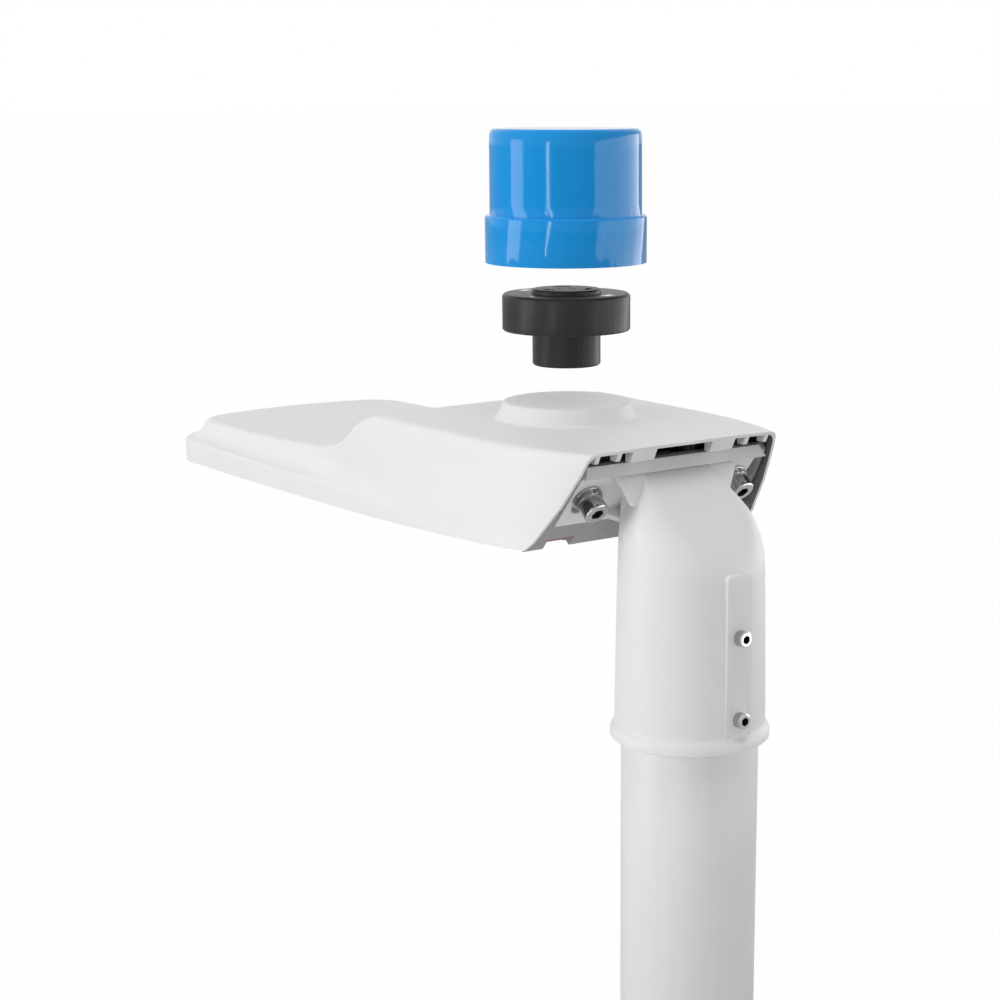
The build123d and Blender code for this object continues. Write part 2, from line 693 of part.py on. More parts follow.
def socket_ring():
    """The socket's flange and its neck, with a well for the turning disc."""
    body = turned(
        [
            (0, 27.75), (17.0, 27.75), (17.92, 28.7), (17.92, 46.0), (32.8, 46.0),
            (33.56, 46.8), (33.56, 63.9), (32.3, 65.2), (0, 65.2),
        ],
        socket_x,
    )
    body -= rod(socket_x, 0, 49.0, 70, 18.3)
    body -= rod(socket_x, 0, 30.0, 50, 14.0)
    for a in dimming_angles:
        x = socket_x + 26 * math.cos(math.radians(a))
        y = 26 * math.sin(math.radians(a))
        body -= Pos(x, y, 65.0) * Rot(0, 0, a) * Box(4.4, 7.4, 1.6)
    return body


dimming_angles = (20.0, 110.0, 200.0, 290.0)


def socket_disc():
    """The turning disc with three curved blade slots."""
    body = turned(
        [(0, 49.3), (18.0, 49.3), (18.0, 66.8), (17.2, 67.5), (0, 67.5)], socket_x
    )
    for a in blade_angles:
        body -= arc_slot(11.8, 3.2, a - 22, a + 22, 53, 70)
    body -= tube(socket_x, 0, 67.0, 68, 4.6, 3.6)
    return body


def socket_contacts():
    """The brass springs inside the blade slots."""
    return group([arc_slot(13.1, 0.5, a - 18, a + 18, 53.0, 65.5) for a in blade_angles])


def dimming_pads():
    items = []
    for a in dimming_angles:
        x = socket_x + 26 * math.cos(math.radians(a))
        y = 26 * math.sin(math.radians(a))
        items.append(Pos(x, y, 64.75) * Rot(0, 0, a) * Box(4.2, 7.2, 1.0))
    return group(items)


# The light sensor cap.
def cap_housing():
    """The blue cap: body, rounded top edge and wider collar."""
    outer = [
        (0, 81.2), (42.0, 81.2), (42.0, 104.6), (41.2, 105.5), (39.5, 105.5),
        (39.3, 146.2), (38.6, 148.0), (37.0, 149.0), (0, 149.0),
    ]
    inner = [(0, 80), (40.0, 80), (40.0, 103.5), (37.6, 104.5), (37.4, 146.8), (0, 146.8)]
    return turned(outer, socket_x) - turned(inner, socket_x)


def cap_base():
    """The base that closes the cap and holds the blades."""
    body = rod(socket_x, 0, 87.2, 90.2, 39.8)
    body += tube(socket_x, 0, 90.1, 100, 37.0, 35.2)
    for a in blade_angles:
        body -= arc_slot(11.8, 1.7, a - 14, a + 14, 80, 95)
    return body


def cap_gasket():
    return tube(socket_x, 0, 83.2, 87.2, 33.0, 22.0)


def cap_blades():
    """Three curved brass blades."""
    return group([arc_slot(11.8, 1.6, a - 13, a + 13, 78.6, 94.0) for a in blade_angles])


def cap_board():
    return rod(socket_x, 0, 100.3, 101.9, 35.0)


def cap_relay():
    body = box(socket_x - 22, socket_x - 2, -10, 10, 101.9, 118)
    return body + rod(socket_x + 14, -12, 101.9, 122, 6.0)


def light_sensor():
    body = rod(socket_x + 8, 16, 101.9, 138, 2.5)
    return body + Pos(socket_x + 8, 16, 138) * Sphere(2.5)


NODES = {
    "pole": pole,
    "adapter": adapter,
    "set_screws": set_screws,
    "flange_bolts": flange_bolts,
    "flat_washers": flat_washers,
    "spring_washers": spring_washers,
    "top_cover": top_cover,
    "base_frame": base_frame,
    "cover_gasket": cover_gasket,
    "cover_screws": cover_screws,
    "thermal_pad": thermal_pad,
    "led_board": led_board,
    "leds": leds,
    "board_screws": board_screws,
    "lens_array": lens_array,
    "lens_gasket": lens_gasket,
    "gear_plate": gear_plate,
    "gear_screws": gear_screws,
    "driver": driver,
    "driver_screws": driver_screws,
    "surge_protector": surge_protector,
    "terminal_block": terminal_block,
    "terminal_screws": terminal_screws,
    "cable_clamp": cable_clamp,
    "grommet": grommet,
    "driver_door": driver_door,
    "door_gasket": door_gasket,
    "hinge_pins": hinge_pins,
    "door_latch": door_latch,
    "socket_ring": socket_ring,
    "socket_disc": socket_disc,
    "socket_contacts": socket_contacts,
    "dimming_pads": dimming_pads,
    "cap_housing": cap_housing,
    "cap_base": cap_base,
    "cap_gasket": cap_gasket,
    "cap_blades": cap_blades,
    "cap_board": cap_board,
    "cap_relay": cap_relay,
    "light_sensor": light_sensor,
}

if __name__ == "__main__":
    for node, make in NODES.items():
        part = make()
        save(part, node)
        print(node, "solids", len(part.solids()), "volume", round(part.volume))
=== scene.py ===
# %% [markdown]
# # A street light with its sensor lifted off
#
# The street light is a flat die-cast head on an elbow that slips over its pole. A blue
# light sensor and its black socket float above the dome that they plug into, as on a
# maker's exploded picture. The parts were built as solids first, and they arrive here
# as a fixed frame. This lesson gives them their finishes, works out the soft castings
# again as smooth surfaces, and lights the whole like a studio picture.

# %% Load the frame
import json
import math

import bmesh
import bpy
import numpy as np
from mathutils import Matrix, Vector


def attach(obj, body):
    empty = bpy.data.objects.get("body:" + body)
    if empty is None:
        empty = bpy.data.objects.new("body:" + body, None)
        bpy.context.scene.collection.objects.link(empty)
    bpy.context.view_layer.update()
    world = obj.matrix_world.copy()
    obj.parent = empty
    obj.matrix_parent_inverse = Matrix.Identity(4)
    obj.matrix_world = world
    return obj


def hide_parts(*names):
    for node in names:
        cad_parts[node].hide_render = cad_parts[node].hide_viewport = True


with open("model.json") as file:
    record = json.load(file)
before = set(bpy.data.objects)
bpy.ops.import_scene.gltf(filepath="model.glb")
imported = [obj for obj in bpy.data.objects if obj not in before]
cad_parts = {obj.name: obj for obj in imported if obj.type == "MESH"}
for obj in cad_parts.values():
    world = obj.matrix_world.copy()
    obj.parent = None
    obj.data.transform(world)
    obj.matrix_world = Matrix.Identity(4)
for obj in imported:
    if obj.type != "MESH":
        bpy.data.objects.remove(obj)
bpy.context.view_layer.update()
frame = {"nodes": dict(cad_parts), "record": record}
nodes = frame["nodes"]
slot_of = {part["node"]: part["material_slot"] for part in frame["record"]["subparts"]}

# %% [markdown]
# ## Shared measures
#
# Shapes are written in millimetres from the pole's axis and from the height of the roof,
# which is lift above the stub's lower end. The head points along -x. The flange between
# elbow and head slopes: s runs up the slope, and d runs out of it to the rear.

# %% Measures
mm = 0.001
lift = 0.300
slope_angle = math.radians(40)
slope_origin = np.array([-42.0, 0.0, -52.0])
slope_out = np.array([math.cos(slope_angle), 0, -math.sin(slope_angle)])
slope_up = np.array([math.sin(slope_angle), 0, math.cos(slope_angle)])
bolt_across, bolt_s = 46.8, 31.8
set_screw_heights = (-91.2, -132.9)
socket_x = -104.35


def up_the_slope(s):
    """How far a point s mm up the flange lies along slope_up, in metres."""
    return (s + slope_origin @ slope_up) * mm + lift * slope_up[2]


print("bolts lie", round(up_the_slope(bolt_s), 4), "m along the slope")

# %% [markdown]
# ## Shader maths that reads like maths
#
# A finish such as powder coat is a base colour with a little noise in it, a fine orange
# peel in its height, and a gloss that differs from place to place. Each of these is a
# small sum over the surface. Math nodes could be added and linked by hand, but then the
# sum can't be read. So a small class wraps a socket, and its operators add the nodes.

# %% Signals
class Signal:
    """A shader socket on which +, - and * add Math nodes."""

    def __init__(self, finish, socket):
        self.finish, self.socket = finish, socket

    def _math(self, operation, first, second):
        return self.finish.node("ShaderNodeMath", {"operation": operation}, {0: first, 1: second})

    def __add__(self, other):
        return self._math("ADD", self, other)

    def __radd__(self, other):
        return self._math("ADD", other, self)

    def __sub__(self, other):
        return self._math("SUBTRACT", self, other)

    def __rsub__(self, other):
        return self._math("SUBTRACT", other, self)

    def __mul__(self, other):
        return self._math("MULTIPLY", self, other)

    def __rmul__(self, other):
        return self._math("MULTIPLY", other, self)


print("signals ready")

# %% [markdown]
# ## Finishes
#
# A finish is one material. Its class adds nodes, feeds the sockets of the surface with
# values or signals, and makes noise whose features have a size in metres on the piece.

# %% Finishes
class Finish:
    """One material. Its surface sockets take plain values or signals."""

    def __init__(self, name, **surface):
        self.material = bpy.data.materials.new(name)
        self.material.use_nodes = True
        self.tree = self.material.node_tree
        self.bsdf = self.tree.nodes["Principled BSDF"]
        self.set(**surface)

    def node(self, kind, settings=None, sockets=None, out=0):
        """Adds a node: its settings first, then the values or links of its sockets."""
        node = self.tree.nodes.new(kind)
        for name, value in (settings or {}).items():
            setattr(node, name, value)
        for key, value in (sockets or {}).items():
            self.feed(node.inputs[key], value)
        return Signal(self, node.outputs[out])

    def feed(self, socket, value):
        """Links a signal to a socket, or writes a plain value on it."""
        if isinstance(value, Signal):
            self.tree.links.new(value.socket, socket)
        elif isinstance(value, (tuple, list)) and len(value) == 3 and socket.type == "RGBA":
            socket.default_value = (*value, 1.0)
        else:
            socket.default_value = value

    def set(self, **surface):
        """Feeds sockets of the Principled BSDF, named with _ for a space."""
        for name, value in surface.items():
            self.feed(self.bsdf.inputs[name.replace("_", " ")], value)
        return self

    def place(self):
        """The point on the piece, in metres."""
        return self.node("ShaderNodeTexCoord", out=3)

    def noise(self, size, detail=2.0):
        """Noise between 0 and 1 with features of about size metres."""
        sockets = {"Vector": self.place(), "Scale": 1.0 / size, "Detail": detail}
        return self.node("ShaderNodeTexNoise", sockets=sockets)

    def between(self, factor, low, high):
        """A colour that runs from low to high with the factor."""
        sockets = {0: factor, 6: (*low, 1.0), 7: (*high, 1.0)}
        return self.node("ShaderNodeMix", {"data_type": "RGBA"}, sockets, out=2)

    def bump(self, height, distance, strength=1.0):
        """Turns a height between 0 and 1 into the surface's normal."""
        sockets = {"Height": height, "Distance": distance, "Strength": strength}
        return self.set(Normal=self.node("ShaderNodeBump", sockets=sockets))


print("finishes ready")

# %% [markdown]
# ## Powder coat
#
# The head, the elbow and the pole are sprayed with light grey powder and baked. The real
# finish is satin, nearly white, with a faint orange peel that only shows in highlights.
# An image texture could carry it, but noise in metres fits every part at the same grain.
# So one function makes all the coats, and each part has its own shade of grey.

# %% Paint
def mixed(colour, factor):
    """A colour made lighter or darker by a factor, kept below 1."""
    return tuple(min(1.0, channel * factor) for channel in colour)


def powder_coat(name, colour, gloss=0.42, peel=0.00004):
    """Satin paint: a cloudy colour within 1 percent, and an orange peel 1.5 mm across."""
    coat = Finish(name, Specular_IOR_Level=0.25)
    cloud = coat.noise(0.05, 3.0)
    peel_height = coat.noise(0.0015, 1.0)
    coat.set(Base_Color=coat.between(cloud, mixed(colour, 0.99), mixed(colour, 1.01)))
    coat.set(Roughness=gloss + 0.06 * coat.noise(0.012))
    return coat.bump(peel_height, peel, 0.25)


frame_grey = (0.76, 0.76, 0.765)
finishes = {
    "cover_paint": powder_coat("cover_paint", (0.80, 0.80, 0.80)),
    "frame_paint": powder_coat("frame_paint", frame_grey),
    "adapter_paint": powder_coat("adapter_paint", (0.80, 0.80, 0.80), 0.45),
    "pole_steel": powder_coat("pole_steel", (0.78, 0.78, 0.78), 0.38, 0.00002),
}
# a dark copy of the powder coat: painted shade for the inside of the cover
painted_shade_inside = powder_coat("painted_shade_inside", (0.22, 0.22, 0.225), 0.5)
print("paints:", sorted(finishes))

# %% [markdown]
# ## Painted shade under the lip
#
# The wall of the lower casting under the lip gets a darker colour, painted shade for the
# shade under the lip. A second material would need the mesh cut there. A mask from two
# coordinates draws the border instead: one runs up the slope, the other keeps it to the rear end.

# %% Painted shade under the lip
lip_s = 47.03
rear_end_x = -0.062


def painted_shade_below_lip(coat, painted, bare):
    """Paint on the lip and on all that is in front of the rear end; painted shade elsewhere.

    The height up the slope is x times its sine plus z times its cosine. The paint fades
    over 2 mm of that height, and over 4 mm of x.
    """
    split = coat.node("ShaderNodeSeparateXYZ", sockets={0: coat.place()})
    x, z = split, Signal(coat, split.socket.node.outputs[2])
    height, edge = x * slope_up[0] + z * slope_up[2], up_the_slope(lip_s)
    above = coat.node("ShaderNodeMapRange", sockets={0: height, 1: edge, 2: edge + 2 * mm})
    rear = coat.node("ShaderNodeMapRange", sockets={0: x, 1: rear_end_x, 2: rear_end_x + 4 * mm})
    # bare carries the colour of the painted shade under the lip
    return coat.set(Base_Color=coat.between(1.0 - rear * (1.0 - above), bare, painted))


# the second colour, 0.36 grey, is painted shade on the wall under the lip
painted_shade_below_lip(finishes["frame_paint"], frame_grey, (0.36, 0.36, 0.365))
print("bare below", round(up_the_slope(lip_s), 4), "m along the slope")

# %% [markdown]
# ## Metals
#
# The bolts and washers are polished stainless steel, the spring washers have a darker
# plating, the plate inside is galvanised, and the contacts are brass. A metal's look is
# its roughness: turned parts have fine rings, zinc has grey clouds. Noise gives both.

# %% Metal
def metal(name, colour, gloss, grain=0.0006, spread=0.1):
    """Bare metal with fine grain in its gloss and colour."""
    bare = Finish(name, Metallic=1.0)
    grit = bare.noise(grain, 3.0)
    bare.set(Base_Color=bare.between(bare.noise(0.006), mixed(colour, 0.92), colour))
    bare.set(Roughness=gloss + spread * grit)
    return bare.bump(grit, 0.00002, 0.2)


finishes["bright_steel"] = metal("bright_steel", (0.50, 0.50, 0.51), 0.08, 0.0006, 0.05)
# nearly black steel: painted shade for the deep hexagon drives of the screws
finishes["painted_shade_steel"] = metal("painted_shade_steel", (0.05, 0.05, 0.05), 0.5)
finishes["dark_steel"] = metal("dark_steel", (0.30, 0.30, 0.31), 0.3)
finishes["zinc_sheet"] = metal("zinc_sheet", (0.55, 0.56, 0.57), 0.38, 0.004, 0.2)
finishes["brass_contact"] = metal("brass_contact", (0.72, 0.52, 0.22), 0.25)
print("finishes with metals:", len(finishes))

# %% [markdown]
# ## Plastics, rubbers and boards
#
# The sensor's cap is glossy blue plastic and its socket a satin black moulding. Seals are
# dull rubber, the lenses are clear acrylic, and the boards have a thin solder mask. One
# function makes them all from a colour, a gloss and how rough the moulding is.

# %% Plastic and rubber
def moulding(name, colour, gloss, shine=0.5, grain=0.0008, depth=0.00003):
    """Moulded plastic or rubber: a cloudy colour within 3 percent and a fine grain."""
    plastic = Finish(name, Specular_IOR_Level=shine)
    grit = plastic.noise(grain, 2.0)
    cloud = plastic.noise(0.02)
    plastic.set(Base_Color=plastic.between(cloud, mixed(colour, 0.97), mixed(colour, 1.03)))
    plastic.set(Roughness=gloss + 0.05 * grit)
    return plastic.bump(grit, depth, 0.15)


for name, values in {
    "sensor_blue": ((0.005, 0.295, 0.74), 0.07, 0.2, 0.004, 0.000002),
    "socket_black": ((0.034, 0.034, 0.035), 0.30, 0.1),
    "rubber_black": ((0.025, 0.025, 0.025), 0.7, 0.3),
    "silicone_red": ((0.36, 0.11, 0.08), 0.65, 0.3),
    "board_white": ((0.78, 0.78, 0.76), 0.35),
    "board_green": ((0.02, 0.16, 0.06), 0.3),
    "led_phosphor": ((0.80, 0.62, 0.10), 0.25),
    "thermal_grey": ((0.34, 0.36, 0.38), 0.7, 0.3),
    "gear_white": ((0.74, 0.74, 0.73), 0.4),
    "gear_black": ((0.03, 0.03, 0.035), 0.45),
    "lens_clear": ((0.95, 0.96, 0.97), 0.03),
}.items():
    finishes[name] = moulding(name, *values)
finishes["lens_clear"].set(Transmission_Weight=1.0, IOR=1.49)
print("finishes:", len(finishes))

# %% [markdown]
# ## Finishing the solids
#
# A solid from the frame has knife-sharp edges, and a real casting or bolt never has: a
# thin light line runs along each edge. A Bevel modifier cuts that line. The triangles of
# a node are loose, so a Weld modifier joins them first, and the bevel's own normals keep
# the flat faces flat.

# %% Edges
edge_width = {
    "pole": 0.6, "base_frame": 0.5, "driver_door": 0.3, "cap_housing": 0.5,
    "flat_washers": 0.2, "spring_washers": 0.2, "socket_ring": 0.15, "socket_disc": 0.15,
}


def soften_edges(piece, width):
    """Welds loose triangles and rounds every edge sharper than 30 degrees."""
    weld = piece.modifiers.new("weld", "WELD")
    weld.merge_threshold = 0.000002
    bevel = piece.modifiers.new("edge radius", "BEVEL")
    bevel.width = width
    bevel.segments = 2
    bevel.limit_method = "ANGLE"
    bevel.angle_limit = math.radians(30)
    bevel.harden_normals = True


for name, piece in nodes.items():
    piece.data.materials.clear()
    piece.data.materials.append(finishes[slot_of[name]].material)
for name, width in edge_width.items():
    soften_edges(nodes[name], width * mm)
print("coated", len(nodes), "nodes and softened", len(edge_width))

# %% [markdown]
# ## Painted shade in the hexagon sockets
#
# The drive of a screw is a deep recess, and its shade is painted in: nearly black beside the
# polished head. Its faces are the only ones close to the screw's axis, and that picks them out.

# %% Screw drives
def darken_sockets(piece, up_way, axes, reach):
    """Gives the steel of painted shade to the faces nearer than reach to a screw's axis.

    An axis is given by where it crosses the plane of y and up_way, in metres.
    """
    mesh = piece.data
    centre = np.zeros(3 * len(mesh.polygons))
    mesh.polygons.foreach_get("center", centre)
    place = np.array(piece.matrix_world)
    centre = centre.reshape(-1, 3) @ place[:3, :3].T + place[:3, 3]
    across = np.stack([centre[:, 1], centre @ up_way], axis=1)
    dark = np.min([np.hypot(*(across - axis).T) for axis in axes], axis=0) < reach
    mesh.materials.append(finishes["painted_shade_steel"].material)
    mesh.polygons.foreach_set("material_index", dark.astype(np.int32))
    return int(dark.sum())


bolt_axes = [(side * bolt_across * mm, up_the_slope(bolt_s)) for side in (-1, 1)]
screw_axes = [(0.0, height * mm + lift) for height in set_screw_heights]
dark_faces = darken_sockets(nodes["flange_bolts"], slope_up, bolt_axes, 3.3 * mm)
dark_faces += darken_sockets(nodes["set_screws"], np.array([0.0, 0.0, 1.0]), screw_axes, 2.2 * mm)
print("dark faces in the screws:", dark_faces)

# %% [markdown]
# ## Surfaces from a field
#
# A casting is a few simple walls with soft fillets where they meet. Each wall is written
# as a field: a distance in millimetres, negative inside. The larger of two fields is the
# space inside both, and a smooth maximum rounds the edge between them. A surface is then
# found along rays: each ray is halved again and again until it stands on zero.
# Subdivision modelling would need a cage for every crease, and the fields need none.

# %% Fields
def smooth_max(first, second, radius):
    """The larger of two fields, with a soft edge about radius wide where they meet."""
    share = np.clip(0.5 + 0.5 * (first - second) / radius, 0, 1)
    return second + (first - second) * share + radius * share * (1 - share)


def smooth_step(value, low, high):
    """0 below low, 1 above high, and an even S curve between."""
    share = np.clip((value - low) / (high - low), 0, 1)
    return share * share * (3 - 2 * share)


def solve(field, origin, direction, reach):
    """The point on each ray where the field turns positive, found by halving."""
    near = np.zeros(direction.shape[:-1])
    far = np.full(direction.shape[:-1], float(reach))
    for _ in range(32):
        middle = (near + far) / 2
        inside = field(origin + middle[..., None] * direction) < 0
        near, far = np.where(inside, middle, near), np.where(inside, far, middle)
    return origin + near[..., None] * direction


print("fields ready")

# %% [markdown]
# ## From points to pieces
#
# The points of a surface lie in rows, and a grid of quads joins them. Every piece goes
# through one finishing step, which joins doubled points, turns the faces outward, keeps
# only the real edges sharp and tells the frame which body the piece rides on.

# %% Meshes
def grid_faces(rows, columns):
    """The quads of a grid of points whose rows close on themselves."""
    index = np.arange(rows * columns).reshape(rows, columns)
    ahead = np.roll(index, -1, axis=1)
    return np.stack([index[:-1], ahead[:-1], ahead[1:], index[1:]], axis=-1).reshape(-1, 4)


def mesh_from(name, points, faces):
    """A mesh from points in mm, as an array, and faces of point numbers."""
    mesh = bpy.data.meshes.new(name)
    metres = points.reshape(-1, 3) * mm + (0, 0, lift)
    mesh.from_pydata(metres.tolist(), [], faces.tolist())
    return mesh


def finished(name, mesh, slot, body, sharp=38.0):
    """Joins doubled points, turns the faces outward and shades all but the sharp edges."""
    work = bmesh.new()
    work.from_mesh(mesh)
    bmesh.ops.remove_doubles(work, verts=work.verts, dist=0.000002)
    bmesh.ops.recalc_face_normals(work, faces=work.faces)
    work.to_mesh(mesh)
    work.free()
    mesh.shade_smooth()
    mesh.set_sharp_from_angle(angle=math.radians(sharp))
    mesh.materials.clear()
    mesh.materials.append(finishes[slot].material)
    piece = bpy.data.objects.new(name, mesh)
    bpy.context.scene.collection.objects.link(piece)
    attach(piece, body)
    return piece


print("meshes ready")

# %% [markdown]
# ## Turned and pressed shapes
#
# Round pieces are an outline turned about an upright axis. Flat ones are an outline with
# thickness and rounded edges, for which a filled curve with a bevel does the work, and a
# matrix then lays them where they belong.

# %% Shapes
def turned(name, outline, place, slot, body, around=160, sharp=38.0):
    """An outline of radius and height pairs in mm, turned about an upright axis."""
    angle = np.linspace(0, 2 * math.pi, around, endpoint=False)
    radius, height = np.array(outline, float).T
    x = place[0] + radius[:, None] * np.cos(angle)
    y = place[1] + radius[:, None] * np.sin(angle)
    points = np.stack([x, y, height[:, None] + 0 * x], axis=-1)
    mesh = mesh_from(name, points, grid_faces(len(outline), around))
    return finished(name, mesh, slot, body, sharp)


def pressed(name, outlines, thickness, edge, place, slot, body, reshape=None):
    """A plate from flat outlines in mm, with rounded edges, put in place by a matrix."""
    curve = bpy.data.curves.new(name, "CURVE")
    curve.dimensions = "2D"
    curve.fill_mode = "BOTH"
    curve.extrude = (thickness / 2 - edge) * mm
    curve.bevel_depth = edge * mm
    curve.offset = -edge * mm
    curve.bevel_resolution = 2
    for outline in outlines:
        spline = curve.splines.new("POLY")
        spline.points.add(len(outline) - 1)
        flat = [(x * mm, y * mm, 0, 1) for x, y in outline]
        spline.points.foreach_set("co", np.array(flat).ravel())
        spline.use_cyclic_u = True
    carrier = bpy.data.objects.new(name + "_outline", curve)
    mesh = bpy.data.meshes.new_from_object(carrier)
    mesh.name = name
    bpy.data.objects.remove(carrier)
    mesh.transform(place)
    if reshape:
        points = np.zeros(3 * len(mesh.vertices))
        mesh.vertices.foreach_get("co", points)
        mesh.vertices.foreach_set("co", reshape(points.reshape(-1, 3)).ravel())
    return finished(name, mesh, slot, body, 50.0)


def flat_place(across, along, origin):
    """The matrix that lays an outline's x along across and its y along along, in mm."""
    across, along = Vector(across), Vector(along)
    out = across.cross(along)
    turn = Matrix((across, along, out)).transposed().to_4x4()
    return Matrix.Translation(Vector(origin) * mm + Vector((0, 0, lift))) @ turn


def arc(centre, radius, first, last, count=12):
    """Points of an arc in a flat outline, by its angles in degrees."""
    angle = np.radians(np.linspace(first, last, count))
    return [(centre[0] + radius * math.cos(a), centre[1] + radius * math.sin(a)) for a in angle]


print("shapes ready")

# %% [markdown]
# ## The elbow
#
# The adapter's collar is a slightly tapered cylinder. A flat roof, square to the sloping
# flange, cuts it off, two facets lean away from that roof, and two side walls narrow it
# towards the flange. The creases are crisp near the flange and melt into a dome at the
# back, so each smooth maximum takes a wider radius further out along the slope.

# %% Elbow field
roof_s = 48.0
facet_lean = 0.5
collar_z = [-131.5, -110.5, -79, -58.8, -40]
collar_radius = [38.2, 37.8, 37.25, 36.6, 36.2]
wall_d = [-4, 2.5, 10, 17, 27, 60]
wall_half_width = [25.5, 25.5, 29.3, 34.0, 41, 60]


def elbow_field(point):
    """The elbow: smooth maxima of collar, side walls, flat roof and facets, in mm.

    s runs up the slope and d out of it. The collar's radius falls with height, the side
    walls flare out with d, and the facets lean half a radian away from the crease.
    """
    s = (point - slope_origin) @ slope_up
    d = (point - slope_origin) @ slope_out
    across = np.abs(point[..., 1])
    collar = np.hypot(point[..., 0], across) - np.interp(point[..., 2], collar_z, collar_radius)
    crease = 23 + (d - 6) * 0.069
    facet = (s - roof_s) * math.cos(facet_lean) + (across - crease) * math.sin(facet_lean)
    roof = smooth_max(s - roof_s, facet, np.interp(d, [5, 50], [0.6, 6.0]))
    walls = (across + 0.1 * (s - 18) - np.interp(d, wall_d, wall_half_width)) * 0.85
    sides = smooth_max(collar, walls, 2.5)
    body = smooth_max(sides, roof, np.interp(d, [3, 22, 48], [1.5, 6.5, 9.0]))
    return np.maximum(body, -6.0 - d)


middle_of_collar = np.array([0.0, 0.0, -100.0])
print("field in the collar:", round(float(elbow_field(middle_of_collar)), 2))

# %% [markdown]
# ## The elbow's skin
#
# The bore, the rim and the bead at the collar's foot are turned. Above them level rays
# find the collar, and from the height of dome_z rays fan upward and find the dome.

# %% Elbow skin
pole_bore = 34.68
dome_z = -52.0
ray_reach = 80
bore = [
    (0, -58), (23, -58), (24, -59), (24, -65), (pole_bore, -65), (pole_bore, -148.7),
    (35.1, -149.1), (40.1, -149.1), (40.5, -148.7), (40.5, -145.2), (39.9, -144.0),
    (39.2, -143.0), (38.6, -142.4), (38.35, -141.8),
]


def elbow(around=360):
    """The hollow casting: bore, rim, collar and dome, as one closed skin."""
    angle = np.linspace(0, 2 * math.pi, around, endpoint=False)
    rays = np.stack([np.cos(angle), np.sin(angle), 0 * angle], axis=-1)
    rows = [rays * radius + (0, 0, z) for radius, z in bore]
    heights = np.linspace(-141, dome_z, 46)
    origin = np.stack([0 * heights, 0 * heights, heights], axis=-1)[:, None]
    level = np.broadcast_to(rays, (len(heights), around, 3))
    rows.extend(solve(elbow_field, origin, level, ray_reach))
    rise = np.radians(np.linspace(0.75, 90, 120))[:, None]
    outward = np.cos(rise) * np.cos(angle), np.cos(rise) * np.sin(angle)
    upward = np.stack([*outward, np.sin(rise) + 0 * angle], axis=-1)
    rows.extend(solve(elbow_field, np.array([0.0, 0.0, dome_z]), upward, ray_reach))
    mesh = mesh_from("elbow", np.array(rows), grid_faces(len(rows), around))
    return finished("elbow", mesh, "adapter_paint", "head")


adapter_pieces = [elbow()]
print("elbow:", len(adapter_pieces[0].data.vertices), "points")

# %% [markdown]
# ## Flange, wings and webs
#
# The flange is a flat plate with round shoulders and a slot for each bolt. A wing and a
# web on each side stiffen it. The wing's flat outline is pressed first, and then its
# outer end is drawn in.

# %% Flange
def on_slope(d):
    """The matrix that lays an outline, across and up the slope, d mm out of it."""
    return flat_place((0, 1, 0), slope_up, slope_origin + slope_out * d)


def flange():
    """The sloped flange with a slot for each bolt, and the round shoulders about them."""
    half = [(56.0, 10.0)] + arc((bolt_across, bolt_s), 15.7, 54.1, 90)
    outline = half + [(-x, y) for x, y in reversed(half)]
    slots = [
        arc((side * bolt_across, 34.0), 4.9, 0, 180) + arc((side * bolt_across, 24.1), 4.9, 180, 360)
        for side in (-1, 1)
    ]
    return pressed("flange", [outline] + slots, 5.0, 0.7, on_slope(-6.3), "adapter_paint", "head")


def wing(side):
    """The upright, three-cornered wing between the flange's top edge and the neck."""
    profile = [
        (-10.0, -16.2), (-7.3, -29.4), (-10.3, -29.6), (-12.6, -20.0), (-17.0, -16.5), (-14.6, -12.3)
    ]
    root, width, corner_z, draw = 20.0, 17.3, -16.3, 0.48

    def taper(points):
        """Draws the outer end in towards the lower corner, and mirrors the near wing."""
        height = (points[:, 2] - lift) / mm
        reach = root + width + np.minimum(0.0, height - corner_z) * draw
        across = root + (points[:, 1] / mm - root) * (reach - root) / width
        return np.stack([points[:, 0], side * across * mm, points[:, 2]], axis=-1)

    place = flat_place((1, 0, 0), (0, 0, 1), (0, root + width / 2, 0))
    name = "wing_near" if side < 0 else "wing_far"
    return pressed(name, [profile], width, 0.8, place, "adapter_paint", "head", taper)


def web(side):
    """The small three-cornered web low on the flange."""
    outline = [(34, -4.8), (34, -3.6), (18, 6.0), (10, 7.0), (10, -4.8)]
    place = flat_place((0, 1, 0), slope_out, slope_origin + slope_up * 17.3)
    name = "web_near" if side < 0 else "web_far"
    mirrored = [(side * y, d) for y, d in outline]
    return pressed(name, [mirrored], 3.5, 0.7, place, "adapter_paint", "head")


adapter_pieces.append(flange())
print("flange:", len(adapter_pieces[1].data.vertices), "points")

# %% [markdown]
# ## Screw pad and seal
#
# The two set screws pass through a flat pad on the back of the collar. Of the red-brown
# seal only the edges show, along the top of the two finger notches.

# %% Pad and seal
def screw_pad():
    """The flat pad down the collar that the two set screws pass through."""
    outline = [(-8.2, -143.2), (8.2, -143.2)]
    outline += arc((5.2, -62.6), 3.0, 0, 90) + arc((-5.2, -62.6), 3.0, 90, 180)
    place = flat_place((0, 1, 0), (0, 0, 1), (35.9, 0, 0))
    return pressed("screw_pad", [outline], 4.0, 0.6, place, "adapter_paint", "head")


def seal_edge(side):
    """The red-brown edge of the seal, which shows along the top of each finger notch."""
    y0, y1 = sorted((side * 38.2, side * 54.3))
    outline = [(y0, -2.3), (y1, -2.3), (y1, -1.2), (y0, -1.2)]
    name = "seal_edge_near" if side < 0 else "seal_edge_far"
    return pressed(name, [outline], 6.5, 0.2, on_slope(-8.2), "silicone_red", "head")


adapter_pieces += [screw_pad(), seal_edge(-1), seal_edge(1)]
for side in (-1, 1):
    adapter_pieces += [wing(side), web(side)]
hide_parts("adapter")
print("adapter:", len(adapter_pieces), "pieces")

